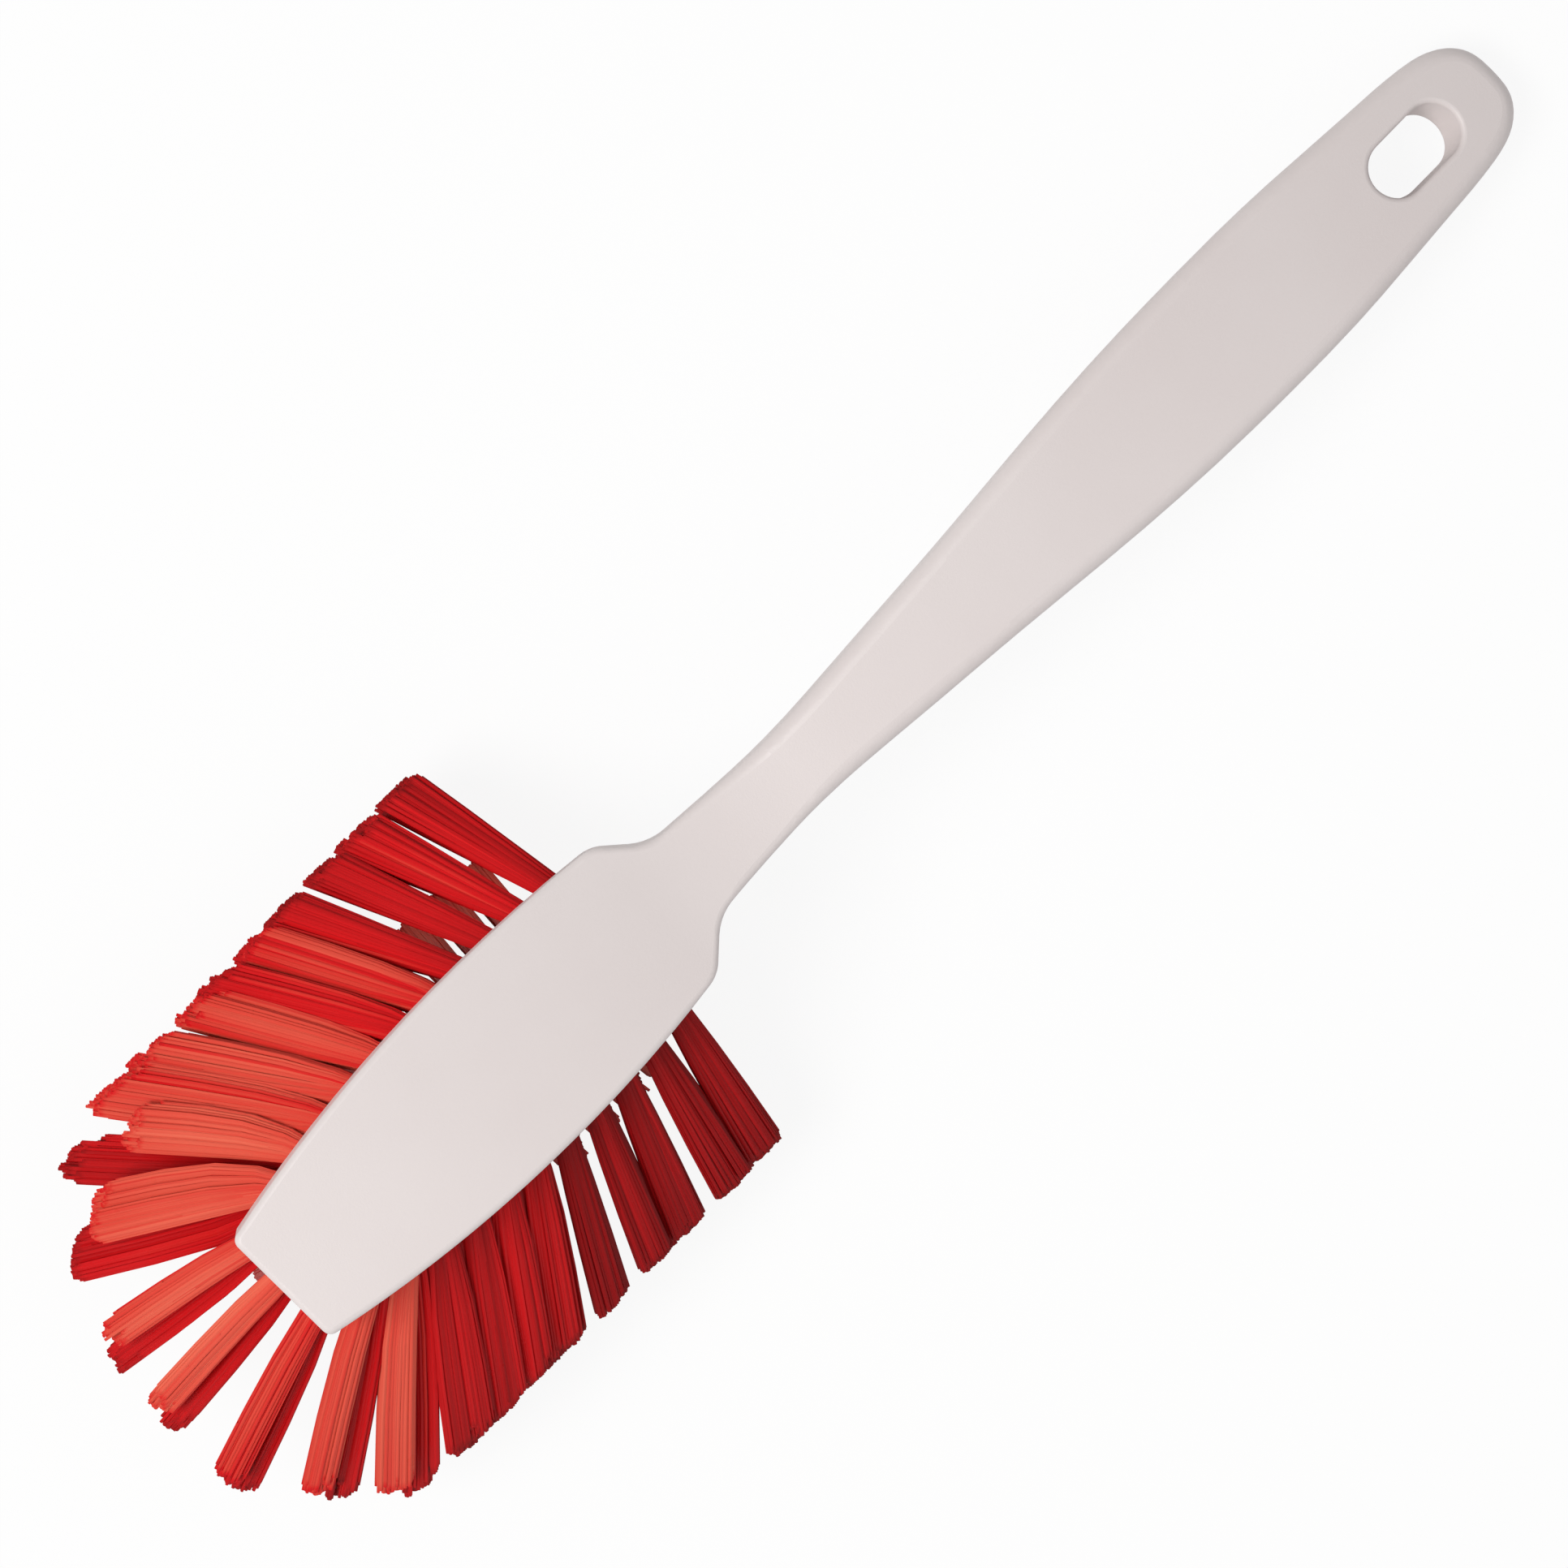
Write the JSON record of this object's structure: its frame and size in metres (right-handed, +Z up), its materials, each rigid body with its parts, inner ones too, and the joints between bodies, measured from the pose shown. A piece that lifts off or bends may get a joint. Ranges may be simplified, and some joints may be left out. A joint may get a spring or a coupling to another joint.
{
  "type": "dish brush",
  "caption": "Dish brush: one-piece white plastic handle and head with a hanging slot, and staple-set red bristle tufts fanned round the sides and front for scrubbing.",
  "frame": {"origin": "on the table, below the middle of the brush's overall box, with the brush lying on its bristle tips and the end of its handle", "axes": "+X along the brush from the bristles at the front to the end of the handle, +Y across to the left seen from the bristles, +Z up"},
  "size_m": [0.2984, 0.0856, 0.0605],
  "materials": {
    "white_polypropylene": "satin moulded polypropylene, warm greyish white",
    "red_filament": "glossy red polyester filament, cut square at the tips",
    "anchor_wire": "plain drawn flat wire"
  },
  "bodies": {
    "root": {"handle": "white_polypropylene", "staples_centre": "anchor_wire", "staples_middle": "anchor_wire", "staples_outer": "anchor_wire", "tuft_centre_01": "red_filament", "tuft_centre_02": "red_filament", "tuft_centre_03": "red_filament", "tuft_centre_04": "red_filament", "tuft_centre_05": "red_filament", "tuft_centre_06": "red_filament", "tuft_centre_07": "red_filament", "tuft_middle_01": "red_filament", "tuft_middle_02": "red_filament", "tuft_middle_03": "red_filament", "tuft_middle_04": "red_filament", "tuft_middle_05": "red_filament", "tuft_middle_06": "red_filament", "tuft_middle_07": "red_filament", "tuft_middle_08": "red_filament", "tuft_middle_09": "red_filament", "tuft_middle_10": "red_filament", "tuft_middle_11": "red_filament", "tuft_middle_12": "red_filament", "tuft_middle_13": "red_filament", "tuft_middle_14": "red_filament", "tuft_middle_15": "red_filament", "tuft_middle_16": "red_filament", "tuft_middle_17": "red_filament", "tuft_outer_01": "red_filament", "tuft_outer_02": "red_filament", "tuft_outer_03": "red_filament", "tuft_outer_04": "red_filament", "tuft_outer_05": "red_filament", "tuft_outer_06": "red_filament", "tuft_outer_07": "red_filament", "tuft_outer_08": "red_filament", "tuft_outer_09": "red_filament", "tuft_outer_10": "red_filament", "tuft_outer_11": "red_filament", "tuft_outer_12": "red_filament", "tuft_outer_13": "red_filament", "tuft_outer_14": "red_filament", "tuft_outer_15": "red_filament", "tuft_outer_16": "red_filament", "tuft_outer_17": "red_filament", "tuft_outer_18": "red_filament", "tuft_outer_19": "red_filament", "tuft_outer_20": "red_filament", "tuft_outer_21": "red_filament", "tuft_outer_22": "red_filament", "tuft_outer_23": "red_filament", "tuft_outer_24": "red_filament", "tuft_outer_25": "red_filament"}
  },
  "joints": []
}
